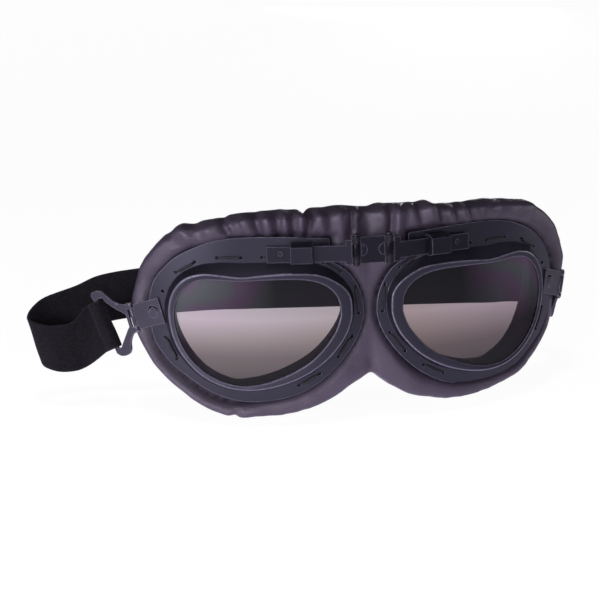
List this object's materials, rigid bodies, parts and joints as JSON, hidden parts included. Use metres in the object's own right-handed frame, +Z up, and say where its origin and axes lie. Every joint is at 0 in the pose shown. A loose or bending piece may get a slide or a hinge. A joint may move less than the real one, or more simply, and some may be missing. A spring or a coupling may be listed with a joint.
{
  "type": "motorcycle goggles",
  "caption": "Split-frame riding goggles with curved tinted lenses, a hinged sliding nose bridge, stitched padded face cushion, side buckles and an elastic head strap.",
  "frame": {"origin": "on the nose mid-plane, at the lenses' mid-height, level with the foremost line of the lens rims", "axes": "+X to the right as seen from the front, +Y from the lenses towards the wearer's face, +Z up; left parts lie at -X and right parts at +X"},
  "size_m": [0.2471, 0.0768, 0.0886],
  "materials": {
    "black_paint": "satin black paint with a slight purple cast",
    "hinge_steel": "satin black, worn on the heads",
    "lens": "smoke tint with a faint iridescent coating",
    "seal_rubber": "matte",
    "leatherette": "soft black leatherette with a fine grain",
    "foam": "open-cell foam",
    "lining": "brushed tricot",
    "thread": "waxed cord",
    "elastic": "ribbed woven elastic",
    "slide_plastic": "moulded black"
  },
  "bodies": {
    "bridge": {"bridge_link": "black_paint", "left_bridge_pin": "hinge_steel", "right_bridge_pin": "hinge_steel", "strap_band": "elastic"},
    "left_arm": {"left_bridge_arm": "black_paint"},
    "right_arm": {"right_bridge_arm": "black_paint"},
    "left_eye": {"left_slide_clip": "black_paint", "left_base_plate": "black_paint", "left_lens_rim": "black_paint", "left_lens": "lens", "left_lens_gasket": "seal_rubber", "left_side_tab": "black_paint", "left_hinge_pin": "hinge_steel", "left_cushion_cover": "leatherette", "left_cushion_foam": "foam", "left_cushion_lining": "lining", "left_stitching": "thread", "left_strap_run": "elastic"},
    "right_eye": {"right_slide_clip": "black_paint", "right_base_plate": "black_paint", "right_lens_rim": "black_paint", "right_lens": "lens", "right_lens_gasket": "seal_rubber", "right_side_tab": "black_paint", "right_hinge_pin": "hinge_steel", "right_cushion_cover": "leatherette", "right_cushion_foam": "foam", "right_cushion_lining": "lining", "right_stitching": "thread", "right_strap_run": "elastic"},
    "left_buckle": {"left_buckle": "black_paint", "left_strap_end": "elastic"},
    "right_buckle": {"right_buckle": "black_paint", "right_strap_end": "elastic"},
    "adjuster": {"strap_adjuster": "slide_plastic"}
  },
  "joints": [
    {"name": "left_bridge_hinge", "type": "hinge", "parent": "bridge", "child": "left_arm", "pos_m": [-0.00695, -0.0031, 0.028], "axis": [0, 0, -1], "range_deg": [-8, 8]},
    {"name": "right_bridge_hinge", "type": "hinge", "parent": "bridge", "child": "right_arm", "pos_m": [0.00695, -0.0031, 0.028], "axis": [0, 0, 1], "range_deg": [-8, 8]},
    {"name": "left_width_slide", "type": "slide", "parent": "left_arm", "child": "left_eye", "axis": [-0.9703, 0.2419, 0], "range_m": [-0.001, 0.0025]},
    {"name": "right_width_slide", "type": "slide", "parent": "right_arm", "child": "right_eye", "axis": [0.9703, 0.2419, 0], "range_m": [-0.001, 0.0025]},
    {"name": "left_buckle_hinge", "type": "hinge", "parent": "left_eye", "child": "left_buckle", "pos_m": [-0.09658, 0.03796, -0.00334], "axis": [0.2211, -0.1913, -0.9563], "range_deg": [-12, 20]},
    {"name": "right_buckle_hinge", "type": "hinge", "parent": "right_eye", "child": "right_buckle", "pos_m": [0.09658, 0.03796, -0.00334], "axis": [0.2211, 0.1913, 0.9563], "range_deg": [-40, 5]},
    {"name": "strap_adjuster_slide", "type": "slide", "parent": "bridge", "child": "adjuster", "axis": [0.9986, 0, -0.0523], "range_m": [-0.015, 0.02]}
  ]
}
